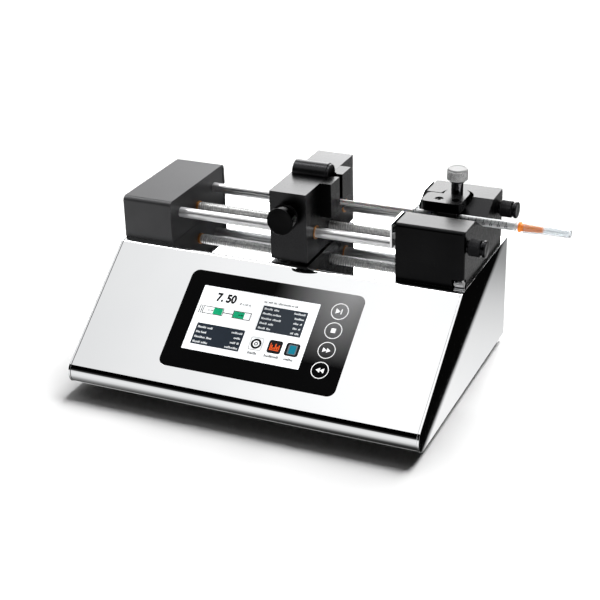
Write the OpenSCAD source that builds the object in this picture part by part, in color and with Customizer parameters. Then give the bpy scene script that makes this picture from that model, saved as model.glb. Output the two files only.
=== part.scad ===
// Bench syringe infusion pump: a sloped steel base with a touch screen, and on its deck a
// lead-screw drive, a sliding pusher block and a V-grooved cradle that clamps a 1 ml syringe.
// +X runs along the syringe towards the needle, +Y to the back, +Z up.
// The origin is on the bench, in the middle of the steel base.

/* [Base] */
// Width of the steel base
base_w = 280; // [276:1:300]
// Height of the base from its underside to the deck
base_h = 83.5; // [80:0.5:88]
// Depth from the front lip to the rear panel
base_d = 202; // [200:0.5:208]
// Slope of the front face below horizontal
slope_angle = 36.75; // [35:0.25:38]
// Outer radius of the lip at the foot of the slope
lip_r = 10; // [8:0.5:12]
// Outer radius of the bend between slope and deck
deck_r = 5; // [3:0.5:7]
// Thickness of the steel sheet
sheet = 1.5; // [1:0.1:1.8]
// Height of the rubber feet
foot_h = 6; // [5:0.5:8]

/* [Display] */
// Width of the front glass
glass_w = 141; // [136:1:145]
// Height of the front glass, measured along the slope
glass_h = 82; // [78:1:84]
// Width of the lit screen
screen_w = 95; // [90:1:95]
// Height of the lit screen
screen_h = 54; // [50:1:54]

/* [Drive] */
// Depth of the drive cover, the pusher and the cradle
block_d = 93; // [90:1:96]
// Width of the drive cover
cover_w = 41.5; // [40:0.5:44]
// Height of the drive cover
cover_h = 34; // [32:0.5:36]
// Radius of the guide rods
rod_r = 4; // [3.8:0.1:4.2]
// Height of the guide rods above the deck
rod_h = 19.8; // [19:0.2:21]
// Half the distance between the guide rods
rod_half_pitch = 28.5; // [27:0.5:30]
// Height of the lead screw above the deck
screw_h = 14; // [13.5:0.5:14.5]

/* [Pusher] */
// Width of the pusher block
pusher_w = 29.5; // [28:0.5:31]
// Height of the pusher's top above the deck
pusher_top = 56; // [54:0.5:58]
// Gap between the pusher and the deck
pusher_gap = 1.5; // [1:0.5:2]
// Radius of the release knob
release_r = 10.5; // [9:0.5:11]

/* [Syringe cradle] */
// Width of the cradle block
cradle_w = 52.2; // [51:0.2:52.4]
// Height of the cradle block
cradle_h = 44; // [43:0.5:45]
// Half the width of the V groove at the top
vee_half_w = 22.5; // [21:0.5:23]
// Depth of the V groove
vee_depth = 13; // [12.5:0.5:13]

/* [Syringe] */
// Outer radius of the syringe barrel
barrel_r = 3.2; // [3.1:0.05:3.25]
// Length of the barrel from its flange to its shoulder
barrel_len = 78; // [76:1:80]

/* [Hidden] */
$fn = 64;

// Base
rear_y = base_d / 2;
deck_z = foot_h + base_h;
slope_run = (cos(slope_angle) * (base_h - lip_r) - lip_r) / sin(slope_angle);
deck_d = base_d - lip_r - slope_run;
deck_front = rear_y - deck_d;
lip_y = deck_front - slope_run;
bend_back = deck_r * tan(slope_angle / 2);
half_w = base_w / 2;
inner_half_w = half_w - sheet;
panel_proud = 0.4;
side_gap = 0.3;
tray_front = lip_y + 12;
foot_x = 115;
foot_front_y = -68;
foot_rear_y = 78;
foot_r = 8;

// Display, measured down the slope from the deck's front edge
glass_x = 0.5;
glass_down = 56.2;
glass_t = 2.4;
glass_proud = 0.4;
glass_r = 6;
screen_x = glass_x - 9.2;
screen_down = 54.4;

// Drive
mech_y = round(10 * (deck_front + 52.4)) / 10;
block_front = mech_y - block_d / 2;
block_back = mech_y + block_d / 2;
cover_x = -half_w;
cover_t = 2;
cover_r = 4;
plate_t = 8;
plate_x = cover_x + cover_w - 0.6;
front_rod_y = mech_y - rod_half_pitch;
rear_rod_y = mech_y + rod_half_pitch;
rod_z = deck_z + rod_h;
screw_z = deck_z + screw_h;
screw_r = 4;
journal_r = 3;
run_fit = 0.05;
bush_r = 5.4;
belt_x = plate_x - 18;
belt_w = 6;
pulley_r = 8;
motor_z = deck_z - 40;
motor_x = plate_x + 4;
motor_side = 42;

// Pusher, at its place with the syringe part full
pusher_x = -13.5;
pusher_right = pusher_x + pusher_w;
bracket_t = 9;
bracket_half_d = 20;
bracket_low = 29;
release_x = pusher_x + pusher_w / 2;
release_z = deck_z + 38.6;
release_front = block_front - 15;
release_len = 10;
release_neck_r = 6.9;
release_shaft_r = 3;
release_tip_r = 0.55;
release_travel = 3.5;
nut_drop = release_shaft_r - release_tip_r;
nut_low = deck_z + 8;
nut_floor = deck_z + 3.5;
nut_half_l = 6.5;
nut_half_w = 8;
stem_r = 1.5;
bracket_screw_y = 15.5;
bracket_screw_z = deck_z + 46;

// Cradle and clamp
cradle_x = 86;
cradle_right = cradle_x + cradle_w;
vee_z = deck_z + cradle_h - vee_depth;
flange_gap = 2;
plate_sheet = 1.5;
flange_rod_y = 39.2;
flange_rod_r = 2.5;
flange_rod_z = deck_z + 31;
thumb_r = 6.3;
thumb_len = 14.5;
post_x = cradle_x + 24;
post_y = mech_y + 22;
post_r = 4.5;
post_low_r = 3.5;
pocket_r = 12.4;
pocket_floor = deck_z + 38;
arm_low = deck_z + 40;
arm_t = 7.5;
arm_front = mech_y - 5.4;
arm_depth = 18.5;
arm_left = post_x - 19.5;
arm_right = post_x + 11;
arm_screw_x = [post_x - 7.6, post_x + 5.2];
arm_screw_y = arm_front + 8;
knob_low = deck_z + 55;
knob_h = 10.5;
knob_r = 7.8;

// Syringe, lying in the groove
vee_slope = atan(vee_depth / vee_half_w);
syringe_z = vee_z + (barrel_r + 0.02) / cos(vee_slope);
bore_r = 2.4;
flange_x = cradle_x - flange_gap + 0.2;
barrel_end = flange_x + barrel_len;
seal_x = flange_x + 18;
disc_x = pusher_right + 0.6;
disc_r = 4.4;
disc_pocket_r = 4.9;
hub_x = barrel_end + 2.2;
cap_tip = 203;

// ---------- shared shapes ----------

module block(low, high) {
    translate(low) cube(high - low);
}

module x_rod(r, x0, x1, y, z) {
    translate([x0, y, z]) rotate([0, 90, 0]) cylinder(r = r, h = x1 - x0);
}

module y_rod(r, y0, y1, x, z) {
    translate([x, y0, z]) rotate([-90, 0, 0]) cylinder(r = r, h = y1 - y0);
}

module rounded_rect(w, h, r) {
    square([w - 2 * r, h], center = true);
    square([w, h - 2 * r], center = true);
    for (i = [-1, 1], j = [-1, 1])
        translate([i * (w / 2 - r), j * (h / 2 - r)]) circle(r = r);
}

// Turns a drawing made in (Y, Z) into a slab that runs from x0 to x1
module extrude_x(x0, x1) {
    translate([x0, 0, 0]) rotate([90, 0, 90]) linear_extrude(x1 - x0) children();
}

// Local frame on the slope: X as the row, -Y down the slope, +Z out of the face
module on_slope(down = 0, out = 0) {
    translate([0, deck_front, deck_z]) rotate([slope_angle, 0, 0])
        translate([0, -down, out]) children();
}

// Side view of the base, drawn in (Y, Z), with every face moved in by inset
module base_outline(inset) {
    s = sin(slope_angle);
    c = cos(slope_angle);
    r1 = lip_r - inset;
    r2 = deck_r - inset;
    lip_z = foot_h + lip_r;
    bend_y = deck_front + bend_back;
    bend_z = deck_z - deck_r;
    polygon([
        [rear_y - inset, foot_h + inset], [rear_y - inset, deck_z - inset],
        [bend_y, deck_z - inset], [bend_y - s * r2, bend_z + c * r2],
        [lip_y - s * r1, lip_z + c * r1], [lip_y, foot_h + inset]]);
    translate([bend_y, bend_z]) circle(r = r2);
    translate([lip_y, lip_z]) circle(r = r1);
}

// Pan-head screw whose head sits on z = 0 and points up
module screw(head_r, head_h, shank_r, shank_len) {
    difference() {
        cylinder(r = head_r, h = head_h);
        translate([0, 0, head_h * 0.4]) cylinder(r = head_r * 0.5, h = head_h, $fn = 6);
    }
    translate([0, 0, -shank_len]) cylinder(r = shank_r, h = shank_len);
}

// ---------- steel base ----------

vent_x = 60;
vent_n = 9;
inlet_x = -96;
switch_x = -58;
serial_x = -18;
socket_z = foot_h + 30;
inlet_w = 27;
inlet_h = 20;
switch_w = 13;
switch_h = 19.4;
serial_w = 19;
serial_h = 11;
rear_screws = [for (x = [-130, -40, 40, 130]) for (z = [12, 72]) [x, z]];

module housing_shell() {
    color("gainsboro") difference() {
        extrude_x(side_gap - inner_half_w, inner_half_w - side_gap)
            difference() {
                base_outline(0);
                base_outline(sheet);
                translate([rear_y - sheet, foot_h - 1]) square([10, base_h - sheet + 1]);
                translate([tray_front, foot_h - 1]) square([base_d, 5]);
            }
        on_slope(glass_down, -10) translate([glass_x, 0, 0]) linear_extrude(20)
            rounded_rect(glass_w + 0.4, glass_h + 0.4, glass_r + 0.2);
        block([belt_x - 7, mech_y - 11, deck_z - 5], [belt_x + 7, mech_y + 11, deck_z + 5]);
    }
}

module side_panel(x) {
    color("gainsboro") extrude_x(x, x + sheet) base_outline(-panel_proud);
}

module left_side_panel() {
    side_panel(-half_w);
}

module right_side_panel() {
    side_panel(inner_half_w);
}

module base_tray() {
    color("silver") difference() {
        union() {
            block([-inner_half_w, tray_front + 0.2, foot_h],
                  [inner_half_w, rear_y - sheet, foot_h + sheet]);
            for (x = [-inner_half_w, inner_half_w - sheet])
                block([x, tray_front + 10, foot_h], [x + sheet, rear_y - 8, foot_h + 12]);
        }
        foot_places() translate([0, 0, -1]) cylinder(r = 2.1, h = foot_h + 10);
    }
}

module rear_panel() {
    color("silver") difference() {
        block([-inner_half_w, rear_y - sheet, foot_h],
              [inner_half_w, rear_y, deck_z - sheet]);
        for (i = [0 : vent_n - 1])
            block([vent_x + i * 7, rear_y - 5, foot_h + 36],
                  [vent_x + i * 7 + 3, rear_y + 5, foot_h + 62]);
        block([inlet_x - inlet_w / 2, rear_y - 5, socket_z - inlet_h / 2],
              [inlet_x + inlet_w / 2, rear_y + 5, socket_z + inlet_h / 2]);
        block([switch_x - switch_w / 2, rear_y - 5, socket_z - switch_h / 2],
              [switch_x + switch_w / 2, rear_y + 5, socket_z + switch_h / 2]);
        block([serial_x - serial_w / 2, rear_y - 5, socket_z - serial_h / 2],
              [serial_x + serial_w / 2, rear_y + 5, socket_z + serial_h / 2]);
        for (p = rear_screws)
            y_rod(1.6, rear_y - 5, rear_y + 5, p[0], foot_h + p[1]);
    }
}

module case_screws() {
    color("silver") for (p = rear_screws)
        translate([p[0], rear_y, foot_h + p[1]]) rotate([-90, 0, 0])
            screw(3, 1.8, 1.5, 6);
}

// ---------- feet ----------

module foot_places() {
    for (x = [-foot_x, foot_x], y = [foot_front_y, foot_rear_y])
        translate([x, y, 0]) children();
}

module foot(x, y) {
    color("dimgray") translate([x, y, 0]) difference() {
        rotate_extrude() polygon([
            [0, 0], [foot_r - 1.6, 0], [foot_r - 0.6, 1], [foot_r, foot_h], [0, foot_h]]);
        translate([0, 0, -1]) cylinder(r = 2.1, h = foot_h + 2);
        translate([0, 0, -1]) cylinder(r = 4.2, h = 3.5);
    }
}

module foot_front_left() { foot(-foot_x, foot_front_y); }
module foot_front_right() { foot(foot_x, foot_front_y); }
module foot_rear_left() { foot(-foot_x, foot_rear_y); }
module foot_rear_right() { foot(foot_x, foot_rear_y); }

module feet_screws() {
    color("silver") foot_places() translate([0, 0, 2.5]) rotate([180, 0, 0])
        screw(3.6, 1.8, 2, 4.9);
}

// ---------- display and electronics ----------

module display_glass() {
    color("black") on_slope(glass_down, glass_proud - glass_t) translate([glass_x, 0, 0])
        linear_extrude(glass_t) rounded_rect(glass_w, glass_h, glass_r);
}

frame_out = -sheet;
frame_t = 3;
lcd_t = 5;

module display_frame() {
    color("dimgray") on_slope(glass_down, frame_out - frame_t) difference() {
        translate([glass_x, 0, 0]) linear_extrude(frame_t)
            rounded_rect(glass_w + 12, glass_h + 12, 3);
        translate([screen_x, glass_down - screen_down, -1]) linear_extrude(frame_t + 2)
            rounded_rect(screen_w + 12, screen_h + 14, 2);
        translate([glass_x, 0, frame_t - glass_t + sheet + glass_proud])
            linear_extrude(5) rounded_rect(glass_w + 0.4, glass_h + 0.4, glass_r + 0.2);
    }
}

module lcd_module() {
    color("slategray") on_slope(screen_down, glass_proud - glass_t - lcd_t)
        translate([screen_x, 0, 0]) {
            linear_extrude(lcd_t) rounded_rect(screen_w + 10, screen_h + 12, 1.5);
            translate([0, 0, -1.6]) linear_extrude(1.6)
                square([screen_w + 22, screen_h + 4], center = true);
        }
}

board_x = -88;
board_y = mech_y - 40;
board_z = foot_h + 12;

module control_board() {
    color("seagreen") {
        difference() {
            block([board_x, board_y, board_z], [board_x + 105, board_y + 76, board_z + 1.6]);
            for (x = [4, 101], y = [4, 72])
                translate([board_x + x, board_y + y, 0]) cylinder(r = 1.7, h = 60);
        }
        for (x = [4, 101], y = [4, 72])
            translate([board_x + x, board_y + y, foot_h + sheet]) difference() {
                cylinder(r = 3, h = board_z - foot_h - sheet);
                translate([0, 0, 2]) cylinder(r = 1.2, h = 30);
            }
        block([board_x + 36, board_y + 28, board_z + 1.6],
              [board_x + 54, board_y + 46, board_z + 3]);
        block([board_x + 66, board_y + 20, board_z + 1.6],
              [board_x + 78, board_y + 32, board_z + 4]);
        block([board_x + 10, board_y + 64, board_z + 1.6],
              [board_x + 34, board_y + 71, board_z + 10]);
        for (i = [0 : 2])
            translate([board_x + 14, board_y + 14 + i * 13, board_z + 1.6])
                cylinder(r = 4, h = 8);
    }
}

module power_supply() {
    color("silver") difference() {
        block([24, mech_y - 26, foot_h + sheet], [124, mech_y + 40, foot_h + sheet + 32]);
        for (i = [0 : 7])
            block([36 + i * 10, mech_y - 18, foot_h + sheet + 28],
                  [40 + i * 10, mech_y + 30, foot_h + sheet + 40]);
    }
}

module power_inlet() {
    color("black") difference() {
        union() {
            block([inlet_x - inlet_w / 2 - 5, rear_y, socket_z - inlet_h / 2 - 3],
                  [inlet_x + inlet_w / 2 + 5, rear_y + 2.4, socket_z + inlet_h / 2 + 3]);
            block([inlet_x - inlet_w / 2, rear_y - 22, socket_z - inlet_h / 2],
                  [inlet_x + inlet_w / 2, rear_y, socket_z + inlet_h / 2]);
        }
        block([inlet_x - inlet_w / 2 + 2, rear_y - 16, socket_z - inlet_h / 2 + 2],
              [inlet_x + inlet_w / 2 - 2, rear_y + 5, socket_z + inlet_h / 2 - 2]);
    }
    color("silver") for (i = [-1 : 1])
        block([inlet_x + i * 7 - 1, rear_y - 16, socket_z - 2],
              [inlet_x + i * 7 + 1, rear_y - 3, socket_z + 2]);
}

rocker_r = 8.5;
rocker_tilt = 7;
rocker_y = rear_y - 7.2;

module switch_frame() {
    color("black") difference() {
        union() {
            block([switch_x - switch_w / 2 - 2, rear_y, socket_z - switch_h / 2 - 2],
                  [switch_x + switch_w / 2 + 2, rear_y + 1.5, socket_z + switch_h / 2 + 2]);
            block([switch_x - switch_w / 2, rear_y - 18, socket_z - switch_h / 2],
                  [switch_x + switch_w / 2, rear_y, socket_z + switch_h / 2]);
        }
        block([switch_x - 5, rear_y - 14, socket_z - 8.9], [switch_x + 5, rear_y + 5, socket_z + 8.9]);
        x_rod(1.55, switch_x - 6, switch_x + 6, rocker_y, socket_z);
    }
}

module power_rocker() {
    color("black") translate([switch_x, rocker_y, socket_z]) rotate([rocker_tilt, 0, 0]) {
        difference() {
            intersection() {
                x_rod(rocker_r, -4.7, 4.7, 0, 0);
                block([-5, -1, -8.2], [5, 9.6, 8.2]);
            }
            x_rod(14, -5, 5, 21.4, 0);
        }
        x_rod(1.5, -5.9, 5.9, 0, 0);
    }
}

module serial_port() {
    color("silver") difference() {
        union() {
            block([serial_x - 15.5, rear_y, socket_z - 6.2], [serial_x + 15.5, rear_y + 1, socket_z + 6.2]);
            block([serial_x - serial_w / 2 + 0.5, rear_y - 10, socket_z - serial_h / 2 + 0.5],
                  [serial_x + serial_w / 2 - 0.5, rear_y + 2.4, socket_z + serial_h / 2 - 0.5]);
        }
        block([serial_x - serial_w / 2 + 1.5, rear_y - 6, socket_z - serial_h / 2 + 1.5],
              [serial_x + serial_w / 2 - 1.5, rear_y + 5, socket_z + serial_h / 2 - 1.5]);
    }
    color("gold") for (row = [0, 1], i = [0 : 4 - row])
        y_rod(0.5, rear_y - 7, rear_y + 0.5, serial_x - 5.6 + i * 2.8 + row * 1.4,
              socket_z + 1.4 - row * 2.8);
}

// ---------- drive ----------

module stepper_motor() {
    color("dimgray") difference() {
        union() {
            for (x = [0, 30])
                block([motor_x + 2 + x, mech_y - motor_side / 2, motor_z - motor_side / 2],
                      [motor_x + 12 + x, mech_y + motor_side / 2, motor_z + motor_side / 2]);
            block([motor_x + 12, mech_y - 19, motor_z - 19], [motor_x + 32, mech_y + 19, motor_z + 19]);
            x_rod(11, motor_x, motor_x + 2, mech_y, motor_z);
        }
        x_rod(2.5 + run_fit, motor_x - 1, motor_x + 34, mech_y, motor_z);
    }
}

module motor_bracket() {
    color("silver") difference() {
        union() {
            block([motor_x, mech_y - 24, motor_z - 22], [motor_x + 2, mech_y + 24, deck_z - sheet]);
            block([motor_x + 2, mech_y - 24, deck_z - sheet - 2], [motor_x + 16, mech_y + 24, deck_z - sheet]);
        }
        x_rod(11.05, motor_x - 1, motor_x + 3, mech_y, motor_z);
        for (i = [-1, 1], j = [-1, 1])
            x_rod(1.6, motor_x - 1, motor_x + 3, mech_y + i * 15.5, motor_z + j * 15.5);
    }
}

// A toothed pulley with two flanges, its axis along X and centred on the belt
module pulley(z, shaft_r) {
    difference() {
        union() {
            x_rod(pulley_r - 0.8, belt_x - 4, belt_x + 4, mech_y, z);
            for (x = [-4.5, 3.5])
                x_rod(pulley_r + 1.6, belt_x + x, belt_x + x + 1, mech_y, z);
        }
        x_rod(shaft_r, belt_x - 6, belt_x + 6, mech_y, z);
    }
}

module motor_pulley() {
    color("silver") {
        pulley(motor_z, 2.5);
        x_rod(2.5, belt_x - 6, motor_x + 30, mech_y, motor_z);
    }
}

module screw_pulley() {
    color("silver") pulley(screw_z, journal_r);
}

module belt_outline(r) {
    for (z = [motor_z, screw_z])
        translate([mech_y, z]) circle(r = r);
    translate([mech_y - r, motor_z]) square([2 * r, screw_z - motor_z]);
}

module timing_belt() {
    color("black") extrude_x(belt_x - belt_w / 2, belt_x + belt_w / 2) difference() {
        belt_outline(pulley_r + 0.8);
        belt_outline(pulley_r - 0.5);
    }
}

// End view of the drive cover, drawn in (Y, Z), moved in by inset and reaching down to low
module cover_outline(inset, low = deck_z) {
    w = block_d / 2 - inset;
    r = cover_r - inset;
    top = deck_z + cover_h - inset;
    translate([mech_y - w, low]) square([2 * w, top - r - low]);
    translate([mech_y - w + r, low]) square([2 * (w - r), top - low]);
    for (i = [-1, 1])
        translate([mech_y + i * (w - r), top - r]) circle(r = r);
}

module drive_cover() {
    color([0.2, 0.2, 0.21]) difference() {
        extrude_x(cover_x, cover_x + cover_w) cover_outline(0);
        extrude_x(cover_x + cover_t, cover_x + cover_w + 1) cover_outline(cover_t, deck_z - 1);
        // clears the proud edge of the side panel underneath
        block([cover_x - 1, -base_d, deck_z - 1],
              [cover_x + sheet + 0.1, base_d, deck_z + panel_proud + 0.05]);
    }
}

module drive_end_plate() {
    color([0.22, 0.22, 0.23]) difference() {
        extrude_x(plate_x - plate_t, plate_x) cover_outline(cover_t);
        for (y = [front_rod_y, rear_rod_y])
            x_rod(rod_r, plate_x - plate_t - 1, plate_x + 1, y, rod_z);
        x_rod(bush_r - 1, plate_x - plate_t - 1, plate_x + 1, mech_y, screw_z);
    }
}

module screw_bush(x0, x1) {
    color("peru") difference() {
        x_rod(bush_r - 1, x0, x1, mech_y, screw_z);
        x_rod(journal_r + run_fit, x0 - 1, x1 + 1, mech_y, screw_z);
    }
}

module screw_bush_left() {
    screw_bush(plate_x - plate_t, plate_x + 1.5);
}

module screw_bush_right() {
    screw_bush(cradle_x - 1, cradle_x + 9);
}

module lead_screw() {
    color("lightgray") {
        x_rod(journal_r, belt_x - 6, plate_x + 2, mech_y, screw_z);
        x_rod(screw_r, plate_x + 2, cradle_x - 1.5, mech_y, screw_z);
        x_rod(journal_r, cradle_x - 1.5, cradle_x + 8.5, mech_y, screw_z);
    }
}

module guide_rod(y) {
    color("white") x_rod(rod_r, plate_x - plate_t, cradle_x + 20, y, rod_z);
}

module front_guide_rod() { guide_rod(front_rod_y); }
module rear_guide_rod() { guide_rod(rear_rod_y); }

// ---------- pusher ----------

module bracket_screw_places(x) {
    for (i = [-1, 1])
        translate([x, mech_y + i * bracket_screw_y, bracket_screw_z]) rotate([0, 90, 0])
            children();
}

module pusher_block() {
    color([0.17, 0.17, 0.18]) difference() {
        block([pusher_x, block_front, deck_z + pusher_gap],
              [pusher_right, block_back, deck_z + pusher_top]);
        for (y = [front_rod_y, rear_rod_y])
            x_rod(bush_r, pusher_x - 1, pusher_right + 1, y, rod_z);
        x_rod(screw_r + 1, pusher_x - 1, pusher_right + 1, mech_y, screw_z);
        // room for the half nut and the stem that pushes it down
        block([release_x - nut_half_l - 0.4, mech_y - nut_half_w - 0.4, nut_floor],
              [release_x + nut_half_l + 0.4, mech_y + nut_half_w + 0.4, deck_z + 26]);
        translate([release_x, mech_y, deck_z + 20])
            cylinder(r = stem_r + run_fit, h = release_z - deck_z - 20);
        y_rod(8, block_front - 1, block_front + 8, release_x, release_z);
        y_rod(release_shaft_r + run_fit, block_front, mech_y + 4, release_x, release_z);
        bracket_screw_places(pusher_x - 1) {
            cylinder(r = 3, h = 4.2);
            cylinder(r = 1.6, h = pusher_w + 2);
        }
    }
}

module guide_bushings() {
    color("peru") for (y = [front_rod_y, rear_rod_y], x = [pusher_x - 0.6, pusher_right - 9.4])
        difference() {
            x_rod(bush_r, x, x + 10, y, rod_z);
            x_rod(rod_r + run_fit, x - 1, x + 11, y, rod_z);
        }
}

// Lower half of a nut under the screw, in a yoke whose stem reaches up to the release shaft
module half_nut() {
    color("peru") {
        difference() {
            block([release_x - nut_half_l, mech_y - nut_half_w, nut_low],
                  [release_x + nut_half_l, mech_y + nut_half_w, deck_z + 24.4]);
            block([pusher_x, mech_y - nut_half_w + 2.5, screw_z],
                  [pusher_right, mech_y + nut_half_w - 2.5, deck_z + 21.2]);
            x_rod(screw_r + run_fit, pusher_x, pusher_right, mech_y, screw_z);
        }
        translate([release_x, mech_y, deck_z + 24])
            cylinder(r = stem_r, h = release_z - release_tip_r - 0.05 - deck_z - 24);
    }
}

// Bracket that holds the plunger's thumb disc: a narrow slot for the plunger in front of a
// wider pocket for the disc, both open at the top
module plunger_bracket() {
    slot_low = syringe_z - 3.2;
    color([0.2, 0.2, 0.21]) difference() {
        block([pusher_right, mech_y - bracket_half_d, deck_z + bracket_low],
              [pusher_right + bracket_t, mech_y + bracket_half_d, deck_z + pusher_top]);
        block([pusher_right - 1, mech_y - 2.9, slot_low],
              [pusher_right + bracket_t + 1, mech_y + 2.9, deck_z + pusher_top + 1]);
        block([pusher_right - 1, mech_y - disc_pocket_r, syringe_z],
              [pusher_right + 3.5, mech_y + disc_pocket_r, deck_z + pusher_top + 1]);
        x_rod(disc_pocket_r, pusher_right - 1, pusher_right + 3.5, mech_y, syringe_z);
        block([pusher_right - 1, mech_y + 9, deck_z],
              [pusher_right + bracket_t + 1, mech_y + 30, deck_z + 35]);
        bracket_screw_places(pusher_right - 1) cylinder(r = 1.5, h = 7);
    }
}

module pusher_screws() {
    color("dimgray") {
        bracket_screw_places(pusher_x + 3.2) rotate([180, 0, 0]) screw(2.7, 2.8, 1.5, 32);
        translate([pusher_right, mech_y + 18.6, deck_z + 10.4]) rotate([0, 90, 0])
            difference() {
                cylinder(r = 1.6, h = 0.5);
                translate([0, 0, 0.2]) cylinder(r = 0.8, h = 1, $fn = 6);
            }
    }
}

grip_r = 8.6;

module top_grip() {
    color([0.24, 0.24, 0.25]) intersection() {
        union() {
            x_rod(grip_r, pusher_x + 1.5, pusher_right - 0.8, mech_y, deck_z + pusher_top);
            x_rod(grip_r - 0.8, pusher_right - 0.8, pusher_right + 1, mech_y, deck_z + pusher_top);
        }
        block([pusher_x, mech_y - 10, deck_z + pusher_top],
              [pusher_right + 2, mech_y + 10, deck_z + pusher_top + 10]);
    }
}

module release_collar() {
    color([0.12, 0.12, 0.12]) difference() {
        y_rod(8, block_front - 0.8, block_front + 8, release_x, release_z);
        y_rod(release_neck_r + run_fit, block_front - 2, block_front + 9, release_x, release_z);
    }
}

// Knob, neck and shaft in one piece; the cone at the shaft's end pushes the stem down
module release_knob() {
    neck_end = block_front + 3.5 - release_front;
    cone = mech_y - stem_r - release_front;
    color([0.1, 0.1, 0.1]) translate([release_x, release_front, release_z])
        rotate([-90, 0, 0]) rotate_extrude() polygon([
            [0, 0], [release_r - 1, 0], [release_r, 1], [release_r, release_len - 0.6],
            [release_r - 0.6, release_len], [release_neck_r, release_len],
            [release_neck_r, neck_end], [release_shaft_r, neck_end],
            [release_shaft_r, cone - release_travel], [release_tip_r, cone], [0, cone]]);
}

// Wire coil on a vertical axis, as a swept octagon
module coil(coil_r, wire_r, height, turns) {
    steps = turns * 20;
    sides = 8;
    points = [for (i = [0 : steps], j = [0 : sides - 1])
        let (t = 360 * turns * i / steps, a = 360 * j / sides, r = coil_r + wire_r * cos(a))
        [r * cos(t), r * sin(t), wire_r + (height - 2 * wire_r) * i / steps + wire_r * sin(a)]];
    walls = [for (i = [0 : steps - 1], j = [0 : sides - 1])
        [i * sides + j, i * sides + (j + 1) % sides,
         (i + 1) * sides + (j + 1) % sides, (i + 1) * sides + j]];
    ends = [[for (j = [sides - 1 : -1 : 0]) j],
            [for (j = [0 : sides - 1]) steps * sides + j]];
    polyhedron(points, concat(walls, ends), convexity = 8);
}

module nut_spring() {
    color("silver") translate([release_x, mech_y, nut_floor])
        coil(4, 0.45, nut_low - nut_floor, 2);
}

// ---------- cradle ----------

// The V groove's outline, drawn in (Y, Z) and running on above the block
module vee_cut() {
    over = 1.2;
    polygon([[mech_y, vee_z], [mech_y + over * vee_half_w, vee_z + over * vee_depth],
             [mech_y - over * vee_half_w, vee_z + over * vee_depth]]);
}

module cradle_outline() {
    edge = 3;
    top = deck_z + cradle_h;
    difference() {
        union() {
            translate([block_front, deck_z]) square([block_d, cradle_h - edge]);
            translate([block_front + edge, deck_z]) square([block_d - edge, cradle_h]);
            translate([block_front + edge, top - edge]) circle(r = edge);
        }
        vee_cut();
    }
}

module cradle_block() {
    edge = 3;
    color([0.16, 0.16, 0.17]) difference() {
        extrude_x(cradle_x, cradle_right) cradle_outline();
        // rounded front corner on the needle side
        difference() {
            block([cradle_right - edge, block_front - 1, deck_z - 1],
                  [cradle_right + 1, block_front + edge, deck_z + cradle_h + 1]);
            translate([cradle_right - edge, block_front + edge, deck_z - 2])
                cylinder(r = edge, h = cradle_h + 4);
        }
        for (y = [front_rod_y, rear_rod_y])
            x_rod(rod_r, cradle_x - 1, cradle_x + 20, y, rod_z);
        x_rod(bush_r - 1, cradle_x - 1, cradle_x + 10, mech_y, screw_z);
        for (i = [-1, 1])
            x_rod(flange_rod_r + run_fit, cradle_x - 1, cradle_right + 1,
                  mech_y + i * flange_rod_y, flange_rod_z);
        translate([post_x, post_y, pocket_floor]) cylinder(r = pocket_r, h = 20);
        translate([post_x, post_y, deck_z + 5]) cylinder(r = post_low_r + run_fit, h = 50);
        block([cradle_right - 9, block_front - 1, deck_z - 1],
              [cradle_right + 1, block_front + 6, deck_z + 6.6]);
    }
}

// Bright stop pin that lies in the notch at the cradle's front corner, with an upright peg
module corner_tab() {
    r = 2.3;
    left = cradle_right - 8.6;
    right = cradle_right - 0.4;
    y = block_front + 3.4;
    color("white") {
        x_rod(r, left + r, right, y, deck_z + r);
        translate([left + r, y, deck_z + r]) sphere(r = r);
        translate([right - 1.2, y, deck_z + r]) cylinder(r = 0.9, h = 3.9);
    }
}

module flange_plate_outline() {
    low = deck_z + 24.5;
    difference() {
        translate([block_front - 1.5, low]) square([block_d, deck_z + cradle_h - low]);
        vee_cut();
    }
}

module flange_plate() {
    color("silver") difference() {
        extrude_x(cradle_x - flange_gap - plate_sheet, cradle_x - flange_gap)
            flange_plate_outline();
        for (i = [-1, 1])
            x_rod(flange_rod_r, cradle_x - 10, cradle_x, mech_y + i * flange_rod_y, flange_rod_z);
    }
}

module flange_rods() {
    color("silver") for (i = [-1, 1])
        x_rod(flange_rod_r, cradle_x - flange_gap - plate_sheet - 0.5, cradle_right + 9,
              mech_y + i * flange_rod_y, flange_rod_z);
}

module thumb_screw(y) {
    color([0.12, 0.12, 0.12]) translate([cradle_right, y, flange_rod_z]) rotate([0, 90, 0])
        difference() {
            union() {
                cylinder(r = 5, h = thumb_len);
                translate([0, 0, 0.3]) cylinder(r = 4.6, h = 2);
                translate([0, 0, 1.6]) cylinder(r = thumb_r, h = 9.2);
                translate([0, 0, 12]) rotate_extrude() polygon([
                    [0, 0], [thumb_r, 0], [thumb_r, 1.7], [thumb_r - 0.8, 2.5], [0, 2.5]]);
            }
            translate([0, 0, -1]) cylinder(r = flange_rod_r + run_fit, h = 11);
        }
}

module front_thumb_screw() { thumb_screw(mech_y - flange_rod_y); }
module rear_thumb_screw() { thumb_screw(mech_y + flange_rod_y); }

// ---------- syringe clamp ----------

module clamp_post() {
    color("white") translate([post_x, post_y, 0]) {
        translate([0, 0, deck_z + 6]) cylinder(r = post_low_r, h = arm_low + arm_t - deck_z - 8);
        translate([0, 0, arm_low + arm_t - 2])
            cylinder(r = post_r, h = knob_low - arm_low - arm_t + 2);
        translate([0, 0, knob_low]) cylinder(r = 3, h = knob_h - 2.5);
    }
}

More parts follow.
